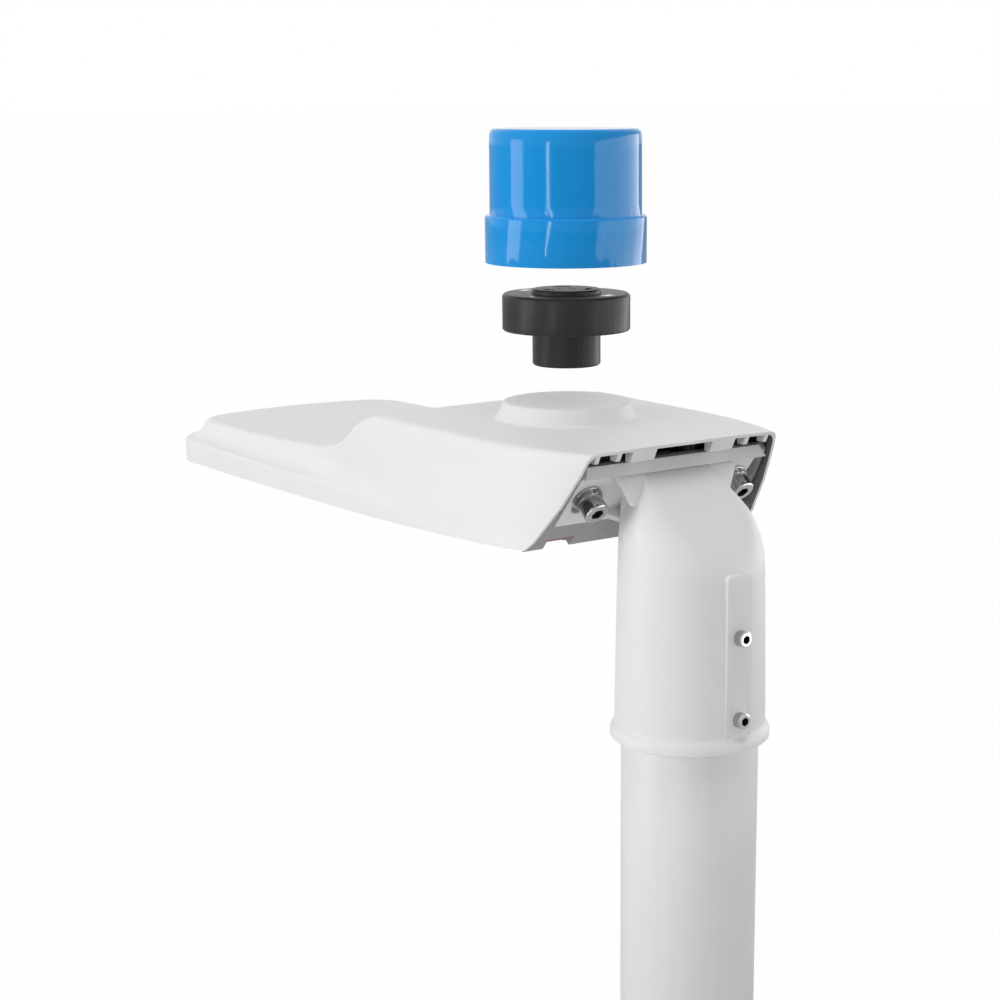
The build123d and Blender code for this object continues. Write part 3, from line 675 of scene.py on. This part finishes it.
# %% [markdown]
# ## The cover
#
# The cover's skin is found in sections that stand on its lower outline. Each section has
# three walls: the drafted side, the roof with its S bend, and a hollow along the front
# edge that runs out towards the rear. Rays fan out from a point 25 mm inside the edge.
# Near the rear the sections lean back, so that the last one is the slanted rear edge.

# %% Roof
crest = np.array([
    (-440, -30.7), (-372, -30.2), (-325, -29.5), (-281, -28.2), (-253, -26.9), (-239, -25.8),
    (-230, -24.4), (-221, -22.1), (-214.5, -19.4), (-207.7, -16), (-201, -11.7), (-194.4, -7.1),
    (-188, -3.8), (-181.5, -1.8), (-172, 0), (-150.0, 0),
])
crest_x, crest_z = crest.T
crown_radius = 2800.0


def roof_height(x, y):
    """The roof: a smooth cubic through the crest's knots, crowned across by a radius of 2.8 m."""
    slope = np.gradient(crest_z, crest_x)
    slope[-2:] = 0
    k = np.clip(np.searchsorted(crest_x, x) - 1, 0, len(crest_x) - 2)
    width = crest_x[k + 1] - crest_x[k]
    t = np.clip((x - crest_x[k]) / width, 0, 1)
    height = (2 * t**3 - 3 * t**2 + 1) * crest_z[k] + (3 * t**2 - 2 * t**3) * crest_z[k + 1]
    height = height + width * ((t**3 - 2 * t**2 + t) * slope[k] + (t**3 - t**2) * slope[k + 1])
    return height - y**2 / (2 * crown_radius)


print("roof over the lamp:", round(float(roof_height(-300.0, 0.0)), 2), "mm")

# %% [markdown]
# ## The lower outline
#
# In plan the cover's edge is a chain of arcs: two at the rear, a nearly straight side, a
# corner, and the front. The corner touches the side and the front, so its centre lies
# where two circles cross. All of it is then cut into even steps.

# %% Outline
tip_x = -422.5
front_r, corner_r, side_r = 330.0, 36.0, 5400.0
side_centre = (-190.0, 86.5 - side_r)
front_centre = (tip_x + front_r, 0.0)


def circle_through(a, b, c, count):
    """Points along the circle through three points."""
    (ax, ay), (bx, by), (cx, cy) = a, b, c
    d = 2 * (ax * (by - cy) + bx * (cy - ay) + cx * (ay - by))
    a2, b2, c2 = ax * ax + ay * ay, bx * bx + by * by, cx * cx + cy * cy
    x = (a2 * (by - cy) + b2 * (cy - ay) + c2 * (ay - by)) / d
    y = (a2 * (cx - bx) + b2 * (ax - cx) + c2 * (bx - ax)) / d
    first, last = math.atan2(ay - y, ax - x), math.atan2(cy - y, cx - x)
    return arc_points((x, y), math.hypot(ax - x, ay - y), np.linspace(first, last, count))


def arc_points(centre, radius, angle):
    """Points of an arc at an array of angles in radians."""
    return np.stack([centre[0] + radius * np.cos(angle), centre[1] + radius * np.sin(angle)], axis=-1)


def corner_centre():
    """Where the circles cross that lie a corner radius inside the side's and the front's."""
    inner_side, inner_front = side_r - corner_r, front_r - corner_r
    apart = np.subtract(front_centre, side_centre)
    distance = math.hypot(*apart)
    along = (inner_side**2 - inner_front**2 + distance**2) / (2 * distance)
    off = math.sqrt(inner_side**2 - along**2)
    return np.array(side_centre) + (along * apart + off * np.array([-apart[1], apart[0]])) / distance


def lower_outline(spacing=0.5):
    """The half outline from the rear to the tip, as evenly spaced points, and their distances."""
    corner = corner_centre()
    turns = [math.atan2(corner[1] - c[1], corner[0] - c[0]) for c in (side_centre, front_centre)]
    path = np.concatenate([
        circle_through((20, 48.7), (-29, 71.1), (-78, 81.43), 200),
        circle_through((-78, 81.43), (-134, 85.23), (-190, 86.5), 200),
        arc_points(side_centre, side_r, np.linspace(math.pi / 2, turns[0], 400)),
        arc_points(corner, corner_r, np.linspace(turns[0], turns[1], 120)),
        arc_points(front_centre, front_r, np.linspace(turns[1], math.pi, 120)),
    ])
    steps = np.hypot(*np.diff(path, axis=0).T)
    path = path[np.concatenate([[True], steps > 0.0001])]
    run = np.concatenate([[0], np.cumsum(np.hypot(*np.diff(path, axis=0).T))])
    even = np.append(np.arange(0, run[-1], spacing), run[-1])
    return np.stack([np.interp(even, run, path[:, 0]), np.interp(even, run, path[:, 1])], axis=-1), even


outline, outline_run = lower_outline()
print("outline length:", round(float(outline_run[-1]), 1), "mm")

# %% [markdown]
# ## Sections
#
# A section stands square to the outline. Its place is given by part, from 0 at the rear
# edge to 1 at the tip. In the rear 30 percent the sections lean back more and more.

# %% Sections
lean_part, lean_run = 0.30, 190.0


def rear_edge(z):
    """How far back the cover reaches at each height: a shallow arc through five points."""
    return np.interp(z, [-65, -47.6, -28.2, -11.0, 6], [-55, -35.5, -20.2, -9.4, -0.8])


def lower_edge(x):
    """The height of the cover's lower edge, which drops a little towards the tip."""
    return -51.0 - (60 - x) * 5.4 / 510


def station(part, z):
    """The outline's point and inward direction for a section, whose rear ones lean back.

    Up to lean_part a section's run along the outline moves with height, from the rear
    edge's run to that of an upright section.
    """
    rear_run = np.interp(-rear_edge(z), -outline[:, 0], outline_run)
    leaning = rear_run + (lean_run - rear_run) * part / lean_part
    ahead = lean_run + (outline_run[-1] - lean_run) * (part - lean_part) / (1 - lean_part)
    run = np.where(part < lean_part, leaning, ahead)
    x = np.interp(run, outline_run, outline[:, 0])
    y = np.interp(run, outline_run, outline[:, 1])
    tangent = np.gradient(outline, outline_run, axis=0)
    inward = np.stack([tangent[:, 1], -tangent[:, 0]], axis=-1)
    inward *= np.where(inward[:, 1:] > 0, -1, 1)
    upright = smooth_step(part, 0.0, lean_part)
    in_x = np.interp(run, outline_run, inward[:, 0]) * upright
    in_y = np.interp(run, outline_run, inward[:, 1]) * upright - (1 - upright)
    length = np.hypot(in_x, in_y)
    return x, y, in_x / length, in_y / length


def place_in(part, q, z):
    """The point q mm inside the outline at a height."""
    x, y, in_x, in_y = station(part, z)
    return x + in_x * q, np.maximum(y + in_y * q, 0)


print("rear edge at mid height:", float(rear_edge(-28.2)), "mm")

# %% [markdown]
# ## The cover's field
#
# In a section q runs inward from the outline and z up. The side leans in by an amount
# that changes along the cover. The hollow is a quarter circle of 13 mm, which slides out
# of the side towards the rear until nothing of it is left.

# %% Cover field
hollow_radius = 13.0
lean_x, lean_top = [-422.5, -415, -380, -190, -130, -85, -32, 20], [9.5, 10, 11, 11.5, 9.9, 7.0, 3.4, 0.6]
bulge_x, lean_middle = [-190, -134, -78, -29, 20], [0.0, 0.4, 1.5, 0.9, 0.2]
crest_radius_x, crest_radius = [-235, -185, -60, -20], [3.4, 4.6, 4.6, 4.4]


def cover_field(part, q, z, skin=0.0):
    """Side wall, roof and hollow in one section; skin moves them all inward."""
    x, y = place_in(part, q, z)
    edge_x = station(part, z)[0]
    top, middle = np.interp(edge_x, lean_x, lean_top), np.interp(edge_x, bulge_x, lean_middle)
    lean = np.interp(z, [-58, -42], [0, 1]) * middle + np.clip((z + 42) / 45, 0, 1) * (top - middle)
    wall = (lean - q) * 0.97
    roof = z - roof_height(x, y)
    slid = hollow_radius * smooth_step(edge_x, -255, -112)
    centre_z = -42 + np.sqrt(np.maximum(hollow_radius**2 - slid**2, 0))
    hollow = hollow_radius - np.hypot(q + slid, np.minimum(z - centre_z, 0))
    sides = smooth_max(wall, hollow, 1.5 + 2.0 * smooth_step(edge_x, -262, -150))
    return smooth_max(sides, roof, np.interp(edge_x, crest_radius_x, crest_radius)) + skin


inside_q, inside_z = 25.0, -48.0
print("field inside a section:", round(float(cover_field(0.5, inside_q, inside_z)), 2))

# %% [markdown]
# ## Points of the cover
#
# In each section the rays fan from the lower edge over the crest. They stand closest
# where the crest bends. From the last ray the roof runs straight on to the spine.

# %% Cover points
def fan_angles(edge_x, base):
    """The angles of the rays: even up the side, dense over the crest, then a few more."""
    crest_q = np.where(edge_x < -200, 13.0, 11.0)
    over_crest = np.arctan2(roof_height(edge_x, 60.0) - inside_z, inside_q - crest_q)
    first, half_bend = -np.arctan((inside_z - base) / inside_q), 0.26
    return np.concatenate([
        first + (over_crest - half_bend - first) * np.linspace(0, 1, 48),
        over_crest - half_bend + 2 * half_bend * np.linspace(0, 1, 46)[1:],
        over_crest + half_bend + 0.3 * np.linspace(0, 1, 8)[1:],
    ], axis=1)


def cover_points(part, thickness):
    """Rows of points from the lower edge over the crest to the spine, one row per section."""
    part = part[:, None]
    edge_x = station(part, 0.0 * part - 5)[0]
    base = lower_edge(edge_x)
    fan = fan_angles(edge_x, base)
    near, far = 0 * fan, 0 * fan + 90.0
    for _ in range(30):
        middle = (near + far) / 2
        q, z = inside_q - middle * np.cos(fan), inside_z + middle * np.sin(fan)
        inside = cover_field(part, q, z, thickness) < 0
        near, far = np.where(inside, middle, near), np.where(inside, far, middle)
    q, z = inside_q - near * np.cos(fan), inside_z + near * np.sin(fan)
    z[:, 0] = base[:, 0]
    x, y = place_in(part, q, z)
    spine_x = np.maximum(station(part, roof_height(0.0, 0.0) + 0 * part)[0], -388.0)
    share = np.linspace(0, 1, 16)[1:]
    roof_x = x[:, -1:] + (spine_x - x[:, -1:]) * share
    roof_y = y[:, -1:] * (1 - share)
    roof_z = roof_height(roof_x, roof_y) - thickness
    rows = [np.concatenate(pair, axis=1) for pair in ((x, roof_x), (y, roof_y), (z, roof_z))]
    return np.stack(rows, axis=-1)


print("rays in a section:", cover_points(np.array([0.5]), 0.0).shape[1])

# %% [markdown]
# ## The cover's skin
#
# The outer and the inner skin are joined along the lower and the rear edge. The inside of
# the casting gets a dark painted shade: its faces are those that look to the middle.

# %% Cover skin
def rear_ends(sections, columns, skin):
    """The strips that close the wall at the rear edge, on both halves."""
    k = np.arange(skin - 1)
    strips = []
    for base in (0, (2 * sections - 1) * columns):
        back = base + columns - 1 - k
        strips.append(np.stack([base + k, base + k + 1, back - 1, back], axis=-1))
    return strips


def paint_shade_inside(mesh):
    """Gives a dark painted shade to the faces that look towards the cover's middle line."""
    centre, normal = np.zeros(3 * len(mesh.polygons)), np.zeros(3 * len(mesh.polygons))
    mesh.polygons.foreach_get("center", centre)
    mesh.polygons.foreach_get("normal", normal)
    away = centre.reshape(-1, 3) - (0, 0, lift - 0.046)
    away[:, 0] -= np.clip(away[:, 0], -0.380, -0.060)
    inner = (away * normal.reshape(-1, 3)).sum(axis=1) < 0
    mesh.materials.append(painted_shade_inside.material)
    mesh.polygons.foreach_set("material_index", inner.astype(np.int32))


def cover_skin():
    """The cast shell: outer and inner skins, joined along the lower and the rear edge."""
    part = np.concatenate([
        np.linspace(0, 0.3, 56), np.linspace(0.3, 0.62, 64)[1:], np.linspace(0.62, 1, 84)[1:]
    ])
    thickness = (1.6 + 0.8 * smooth_step(part, 0.04, 0.10))[:, None]
    outer, inner = cover_points(part, 0.0), cover_points(part, thickness)
    half = np.concatenate([outer, inner[:, ::-1]], axis=1)
    sections, columns = half.shape[:2]
    both = np.concatenate([half, half[::-1] * (1, -1, 1)])
    faces = grid_faces(2 * sections, columns).reshape(2 * sections - 1, columns, 4)
    # no faces run from the outer skin to the inner one along the spine
    faces = np.delete(faces, outer.shape[1] - 1, axis=1).reshape(-1, 4)
    ends = rear_ends(sections, columns, outer.shape[1])
    mesh = mesh_from("cover_skin", both, np.concatenate([faces, *ends]))
    piece = finished("cover_skin", mesh, "cover_paint", "head", 50.0)
    paint_shade_inside(mesh)
    return piece


cover_pieces = [cover_skin()]
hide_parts("top_cover")
print("cover:", len(cover_pieces[0].data.polygons), "faces")

# %% [markdown]
# ## The sensor's dome
#
# The dome that takes the socket is turned. Its foot, its shoulder and the edge of its
# shallow dish are soft, each with its own radius.

# %% Dome
def rounded_profile(corners):
    """An outline of radius and height pairs whose corners are rounded by their own radii."""
    points = []
    for (ax, az, _), (bx, bz, radius), (cx, cz, _) in zip(corners, corners[1:], corners[2:]):
        before, after = Vector((ax - bx, az - bz)), Vector((cx - bx, cz - bz))
        angle = before.angle(after)
        reach = min(radius / math.tan(angle / 2), before.length * 0.49, after.length * 0.49)
        start = Vector((bx, bz)) + before.normalized() * reach
        end = Vector((bx, bz)) + after.normalized() * reach
        for t in np.linspace(0, 1, 9 if radius else 1):
            points.append(tuple((1 - t) ** 2 * start + 2 * t * (1 - t) * Vector((bx, bz)) + t**2 * end))
    return [corners[0][:2], *points, corners[-1][:2]]


dome = rounded_profile([
    (0, -2.4, 0), (50, -2.4, 0), (50, -0.75, 0), (37.5, -0.1, 2.6), (33.7, 8.9, 2.4),
    (27.5, 8.9, 2.0), (24.5, 8.55, 2.0), (0, 8.55, 0),
])
cover_pieces.append(turned("sensor_dome", dome, (socket_x, 0), "cover_paint", "head", 240, 60.0))
print("dome:", len(dome), "points in its outline")

# %% [markdown]
# ## Ribs under the rear edge
#
# Three ribs on each side stand in the gap between the cover's rear edge and the lip of
# the lower casting. Their rear faces follow the slant of the edge.

# %% Ribs
def rib(name, y0, y1, low):
    """A rib under the roof's rear edge, whose rear face follows the edge's slant."""
    front, high, inset = -12.0, -1.2, 0.3
    rear = [(float(rear_edge(z)) - inset, z) for z in (high, low)]
    profile = [(front, high), *rear, (front, low)]
    place = flat_place((1, 0, 0), (0, 0, 1), (0, (y0 + y1) / 2, 0))
    return pressed(name, [profile], abs(y1 - y0), 0.35, place, "cover_paint", "head")


for side, end in ((-1, "near"), (1, "far")):
    cover_pieces += [
        rib("outer_rib_" + end, side * 52.4, side * 54.9, -6.0),
        rib("middle_rib_" + end, side * 39.2, side * 42.0, -6.0),
        rib("wide_rib_" + end, side * 17.6, side * 32.6, -7.6),
    ]
print("cover pieces with ribs:", len(cover_pieces))

# %% [markdown]
# ## Bosses, platform and fins
#
# Screws from below end in blind bosses under the roof. The platform carries the light
# board, and seven fins join it to the roof and lead the heat up.

# %% Bosses and fins
def boss(name, x, y, low, top, hole, depth):
    """A screw boss with its blind hole."""
    radius = 4.4
    outline = [(0, low + depth), (hole, low + depth), (hole, low), (radius, low), (radius, top), (0, top)]
    return turned(name, outline, (x, y), "cover_paint", "head", 40)


cover_bosses = [(-396, 44, -31.6), (-250, 64.8, -28.6), (-84, 66, -1.8)]
number = 0
for x, across, top in cover_bosses:
    for y in (across, -across):
        number += 1
        cover_pieces.append(boss("cover_boss_%d" % number, x, y, -48.9, top, 2.0, 10.9))
for number, (x, y) in enumerate([(-166, 50), (-166, -50), (-84, 50), (-84, -50)]):
    cover_pieces.append(boss("gear_boss_%d" % (number + 1), x, y, -9.4, -1.5, 1.65, 5.2))

platform = [(-392, -58), (-206, -58), (-206, 58), (-392, 58)]
place = flat_place((1, 0, 0), (0, 1, 0), (0, 0, -39.25))
cover_pieces.append(pressed("platform", [platform], 3.5, 0.3, place, "cover_paint", "head"))
fin = [(-392, -38), (-392, -31.8), (-325, -31.0), (-281, -29.7), (-253, -28.4), (-239, -27.3), (-226, -38)]
for number, y in enumerate((-48, -32, -16, 0, 16, 32, 48)):
    place = flat_place((1, 0, 0), (0, 0, 1), (0, y, 0))
    cover_pieces.append(pressed("fin_%d" % (number + 1), [fin], 3.0, 0.3, place, "cover_paint", "head"))
print("cover pieces:", len(cover_pieces))

# %% [markdown]
# ## Floor
#
# The picture has a plain white background. The floor is pale. For the camera it is nearly
# all white light, so that it meets the sky without a line and keeps a trace of shadow.

# %% Floor
floor_size = 80.0
floor_white = 0.985
corner = floor_size / 2
floor_mesh = bpy.data.meshes.new("floor")
floor_mesh.from_pydata(
    [(-corner, -corner, 0), (corner, -corner, 0), (corner, corner, 0), (-corner, corner, 0)],
    [], [(0, 1, 2, 3)],
)
floor = bpy.data.objects.new("floor", floor_mesh)
bpy.context.scene.collection.objects.link(floor)

floor_finish = Finish("floor", Base_Color=(0.9, 0.9, 0.9), Roughness=0.9)
seen = floor_finish.node("ShaderNodeLightPath", out=0)
glow = floor_finish.node("ShaderNodeEmission", sockets={"Color": (1, 1, 1, 1), "Strength": 1.0})
lit = Signal(floor_finish, floor_finish.bsdf.outputs[0])
blend = floor_finish.node("ShaderNodeMixShader", sockets={0: seen * floor_white, 1: lit, 2: glow})
output = floor_finish.tree.nodes["Material Output"]
floor_finish.tree.links.new(blend.socket, output.inputs["Surface"])
floor_mesh.materials.append(floor_finish.material)
print("floor:", floor_size, "m wide")

# %% [markdown]
# ## Sky
#
# The camera, reflections and clear pieces see a white sky. The light it throws on the
# object is less than half of that, a plain level. Each kind of ray adds the step.

# %% World
sky_level = 0.41
world = bpy.data.worlds.new("studio")
bpy.context.scene.world = world
world.use_nodes = True
tree = world.node_tree
sky = tree.nodes["Background"]
sky.inputs["Color"].default_value = (1, 1, 1, 1)
light_path = tree.nodes.new("ShaderNodeLightPath")
strength = None
for ray in ("Is Camera Ray", "Is Transmission Ray", "Is Glossy Ray"):
    step = tree.nodes.new("ShaderNodeMath")
    step.operation = "MULTIPLY_ADD"
    tree.links.new(light_path.outputs[ray], step.inputs[0])
    step.inputs[1].default_value = 1.0 - sky_level
    step.inputs[2].default_value = sky_level
    if strength:
        tree.links.new(strength, step.inputs[2])
    strength = step.outputs[0]
tree.links.new(strength, sky.inputs["Strength"])
print("sky lights at", sky_level)

# %% [markdown]
# ## Camera
#
# The picture's straight edges and circles give the camera: it stands behind and to the
# side of the head, 0.47 m above the stub's lower end, and looks 14 degrees down.

# %% Camera
camera_place = Vector((0.76384, -0.63512, 0.46872))
look = Vector((-0.7712, 0.5882, -0.2435)).normalized()
data = bpy.data.cameras.new("camera")
data.sensor_width = 36.0
data.lens = 73.56
data.shift_x = -0.1074
data.shift_y = 0.1016
camera = bpy.data.objects.new("camera", data)
camera.location = camera_place
camera.rotation_euler = look.to_track_quat("-Z", "Y").to_euler()
bpy.context.scene.collection.objects.link(camera)
bpy.context.scene.camera = camera
bpy.context.scene.view_settings.view_transform = "Standard"
print("camera looks down", round(-math.degrees(math.asin(look.z)), 1), "degrees")

# %% [markdown]
# ## Lamps
#
# A large soft lamp at the picture's left lights the flat sides, and one above lights the
# roof. Three screens light nothing: they only show in what is glossy. A wide one and a
# narrow one draw the two bright lines on the blue cap, and a broad one at the right veils
# the cap's right third. Each screen is set by its radiance, which gives its power. In the
# picture the floating cap throws no shade on the dome, so cap and socket cast none here.

# %% Lamps
target = Vector((-0.1, 0.0, 0.30))
right = Vector((0.606, 0.795, 0.0))
towards = Vector((0.7950, -0.606, 0.0))


def lamp(name, angle, height, distance, wide, tall, radiance, mirrored=False):
    """An area lamp at an angle from the camera's side, positive to the picture's right."""
    side = towards * math.cos(math.radians(angle)) + right * math.sin(math.radians(angle))
    data = bpy.data.lights.new(name, "AREA")
    data.shape = "RECTANGLE"
    data.size, data.size_y = wide, tall
    data.energy = radiance * math.pi * wide * tall
    piece = bpy.data.objects.new(name, data)
    piece.location = target + side * distance + Vector((0, 0, height))
    piece.rotation_euler = (target - piece.location).to_track_quat("-Z", "Y").to_euler()
    piece.visible_diffuse = not mirrored
    piece.visible_glossy = mirrored
    piece.visible_camera = False
    bpy.context.scene.collection.objects.link(piece)


def screen(name, angle, distance, wide, radiance):
    """A level panel that only shows in reflections, 0.6 m tall."""
    lamp(name, angle, 0.0, distance, wide, 0.6, radiance, mirrored=True)


lamp("left_lamp", angle=-66, height=0.2, distance=2.4, wide=2.0, tall=1.8, radiance=2.85)
lamp("top_lamp", angle=20, height=2.6, distance=0.5, wide=1.6, tall=1.6, radiance=3.5)
screen("wide_screen", angle=-76, distance=1.0, wide=0.4, radiance=5.5)
screen("narrow_screen", angle=-25, distance=1.0, wide=0.075, radiance=13.0)
screen("right_screen", angle=94, distance=0.8, wide=1.9, radiance=3.4)
for name in ("socket_ring", "socket_disc", "cap_housing", "cap_base", "cap_gasket", "cap_board"):
    nodes[name].visible_shadow = False
print("lamps ready")
